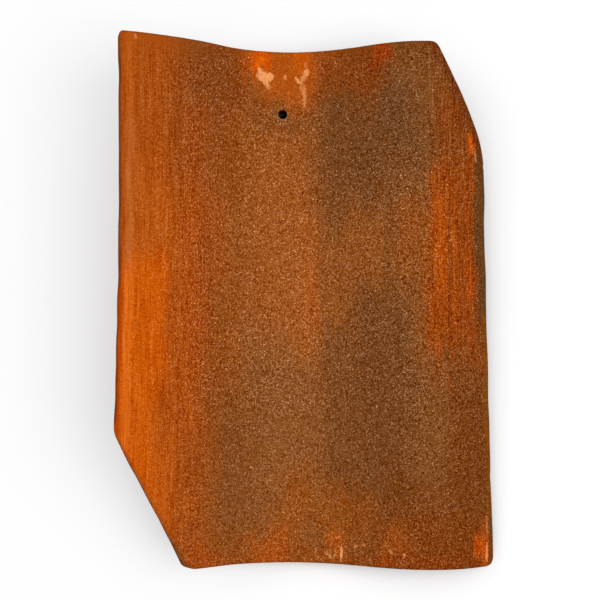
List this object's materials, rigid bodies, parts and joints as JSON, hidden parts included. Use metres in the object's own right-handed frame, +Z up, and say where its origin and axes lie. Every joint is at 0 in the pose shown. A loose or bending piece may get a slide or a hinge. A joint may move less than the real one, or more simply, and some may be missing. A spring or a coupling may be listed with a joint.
{
  "type": "clay roof tile",
  "caption": "Single-lap clay pantile with an S-shaped section, mitred corners, a nail hole and a hanging nib under its head.",
  "frame": {"origin": "middle of the floor under the tile: bottom centre of the bounding box", "axes": "+Y to the head, along the tile's length as seen from above; +X to the roll; +Z up. The tile lies as it comes to rest on a level floor, on its nib, the foot of its pan and its right edge, so it is rolled about 18.7 degrees to its right and its head is raised about 3.1 degrees"},
  "size_m": [0.2382, 0.3438, 0.0968],
  "materials": {
    "fired_clay": "matte, sand-faced on top"
  },
  "bodies": {
    "root": {"pantile": "fired_clay"}
  },
  "joints": []
}
